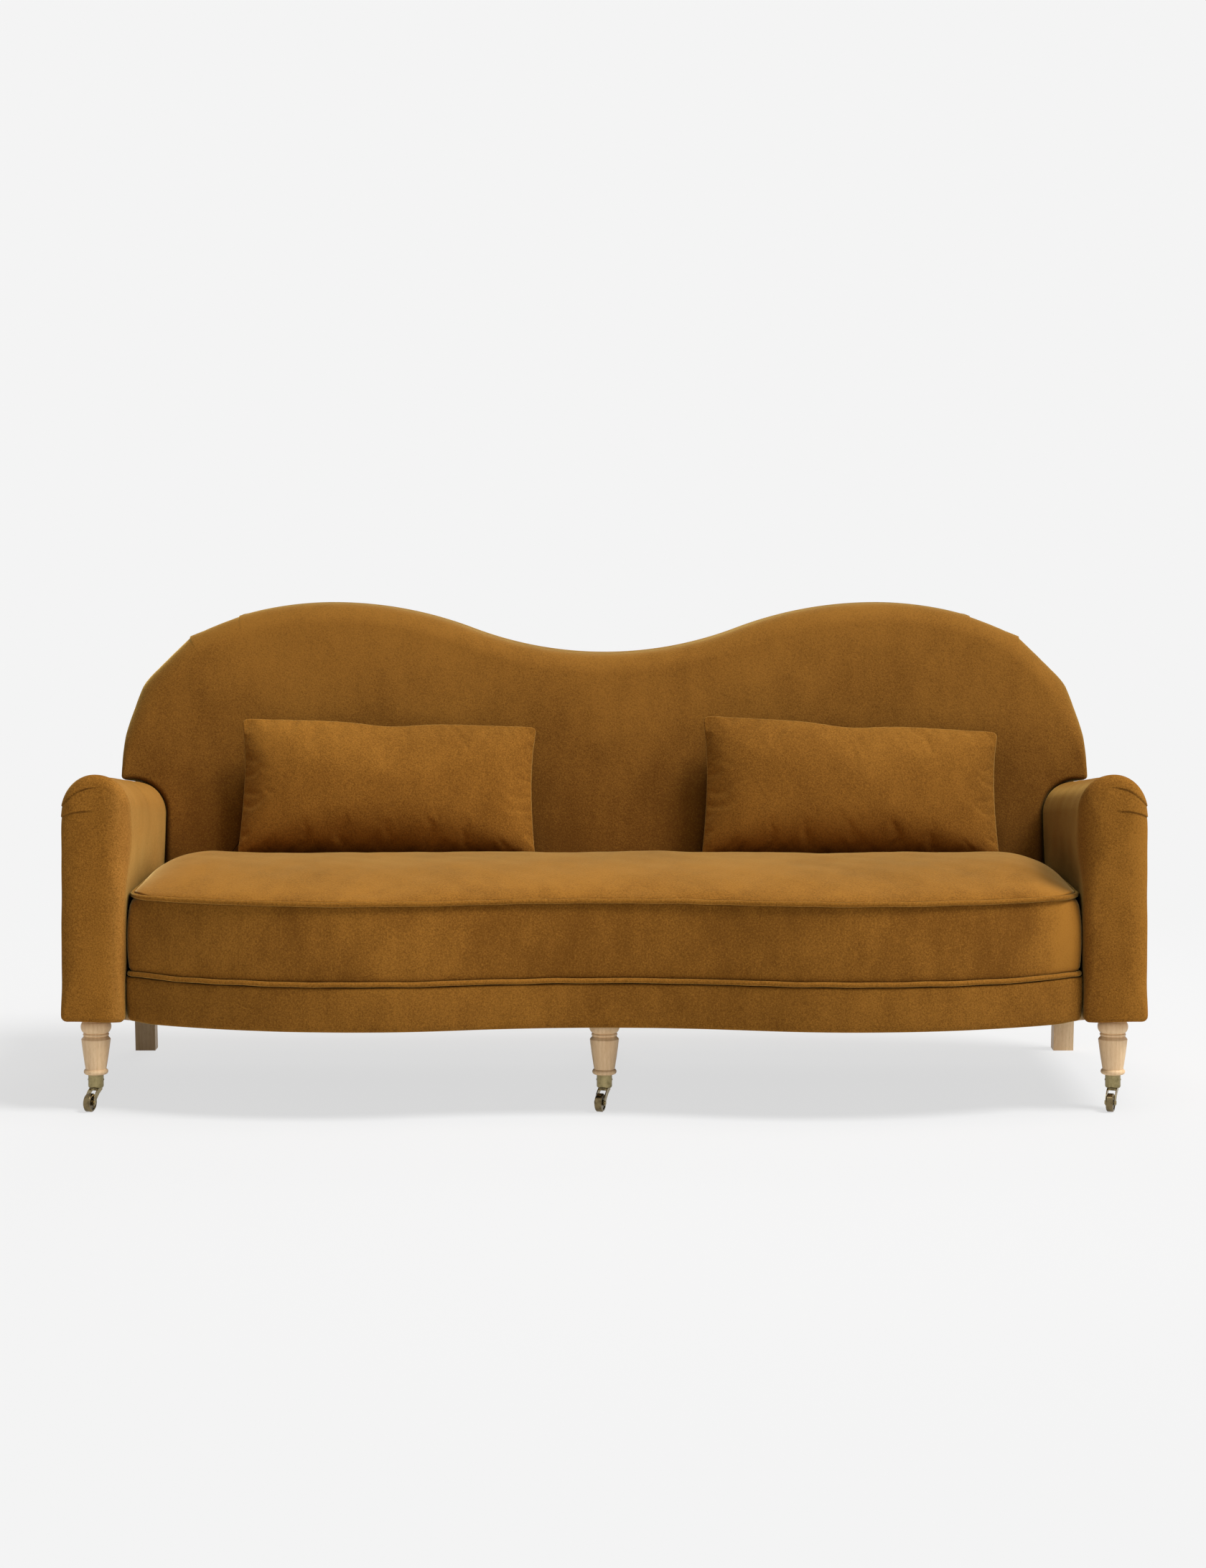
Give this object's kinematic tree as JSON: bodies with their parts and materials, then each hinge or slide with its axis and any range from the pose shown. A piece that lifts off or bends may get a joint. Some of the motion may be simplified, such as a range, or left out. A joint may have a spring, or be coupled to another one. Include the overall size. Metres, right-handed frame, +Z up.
{
  "type": "three-seat camel-back sofa",
  "caption": "Upholstered sofa with a double-humped back, serpentine bench seat, slim rolled arms, lumbar pillows and turned front legs on cup casters.",
  "frame": {"origin": "on the floor, under the middle of the sofa's outer box", "axes": "+X along the seat to the right as seen from the front, -Y toward the sitter's feet (front), +Z up"},
  "size_m": [2.134, 0.91, 0.974],
  "materials": {
    "velvet": "matte",
    "leg_wood": "satin",
    "aged_brass": "satin",
    "steel": "satin",
    "webbing": "matte",
    "filling": "matte",
    "dust_cloth": "matte",
    "frame_wood": "matte"
  },
  "bodies": {
    "sofa_frame": {"back_tack_rails": "frame_wood", "back_top_rail": "frame_wood", "back_webbing": "webbing", "centre_back_post": "frame_wood", "centre_caster_cup": "aged_brass", "centre_front_leg": "leg_wood", "centre_rear_leg": "leg_wood", "centre_stretcher": "frame_wood", "corner_blocks": "frame_wood", "cross_webbing": "webbing", "deck_pad": "filling", "dust_cover": "dust_cloth", "front_rail": "frame_wood", "front_rail_cover": "velvet", "hanger_bolts": "steel", "inside_back_pad": "velvet", "left_arm_facing": "velvet", "left_arm_pad": "velvet", "left_arm_post": "frame_wood", "left_arm_rail": "frame_wood", "left_back_post": "frame_wood", "left_caster_cup": "aged_brass", "left_front_leg": "leg_wood", "left_outside_arm_panel": "velvet", "left_rear_leg": "leg_wood", "left_side_rail": "frame_wood", "leg_blocks": "frame_wood", "outside_back_panel": "velvet", "rear_rail": "frame_wood", "right_arm_facing": "velvet", "right_arm_pad": "velvet", "right_arm_post": "frame_wood", "right_arm_rail": "frame_wood", "right_back_post": "frame_wood", "right_caster_cup": "aged_brass", "right_front_leg": "leg_wood", "right_outside_arm_panel": "velvet", "right_rear_leg": "leg_wood", "right_side_rail": "frame_wood", "seat_stretchers": "frame_wood", "seat_webbing": "webbing"},
    "seat_cushion": {"seat_cushion_cover": "velvet", "seat_cushion_core": "filling", "cushion_top_welt": "velvet", "cushion_bottom_welt": "velvet"},
    "left_pillow": {"left_pillow_cover": "velvet", "left_pillow_insert": "filling"},
    "right_pillow": {"right_pillow_cover": "velvet", "right_pillow_insert": "filling"},
    "left_swivel": {"left_caster_fork": "aged_brass", "left_caster_axle": "steel"},
    "left_wheel": {"left_caster_wheel": "aged_brass"},
    "centre_swivel": {"centre_caster_fork": "aged_brass", "centre_caster_axle": "steel"},
    "centre_wheel": {"centre_caster_wheel": "aged_brass"},
    "right_swivel": {"right_caster_fork": "aged_brass", "right_caster_axle": "steel"},
    "right_wheel": {"right_caster_wheel": "aged_brass"}
  },
  "joints": [
    {"name": "seat_cushion_lift", "type": "slide", "parent": "sofa_frame", "child": "seat_cushion", "axis": [0, 0, 1], "range_m": [0, 0.3]},
    {"name": "left_pillow_lift", "type": "slide", "parent": "seat_cushion", "child": "left_pillow", "axis": [0, 0, 1], "range_m": [0, 0.3]},
    {"name": "right_pillow_lift", "type": "slide", "parent": "seat_cushion", "child": "right_pillow", "axis": [0, 0, 1], "range_m": [0, 0.3]},
    {"name": "left_caster_swivel", "type": "hinge", "parent": "sofa_frame", "child": "left_swivel", "pos_m": [-1.001, -0.299, 0.043], "axis": [0, 0, 1], "continuous": true},
    {"name": "left_wheel_roll", "type": "hinge", "parent": "left_swivel", "child": "left_wheel", "pos_m": [-1.00916, -0.32411, 0.018], "axis": [0.9511, -0.309, 0], "continuous": true},
    {"name": "centre_caster_swivel", "type": "hinge", "parent": "sofa_frame", "child": "centre_swivel", "pos_m": [0, -0.299, 0.043], "axis": [0, 0, 1], "continuous": true},
    {"name": "centre_wheel_roll", "type": "hinge", "parent": "centre_swivel", "child": "centre_wheel", "pos_m": [-0.00816, -0.32411, 0.018], "axis": [0.9511, -0.309, 0], "continuous": true},
    {"name": "right_caster_swivel", "type": "hinge", "parent": "sofa_frame", "child": "right_swivel", "pos_m": [1.001, -0.299, 0.043], "axis": [0, 0, 1], "continuous": true},
    {"name": "right_wheel_roll", "type": "hinge", "parent": "right_swivel", "child": "right_wheel", "pos_m": [0.99284, -0.32411, 0.018], "axis": [0.9511, -0.309, 0], "continuous": true}
  ]
}
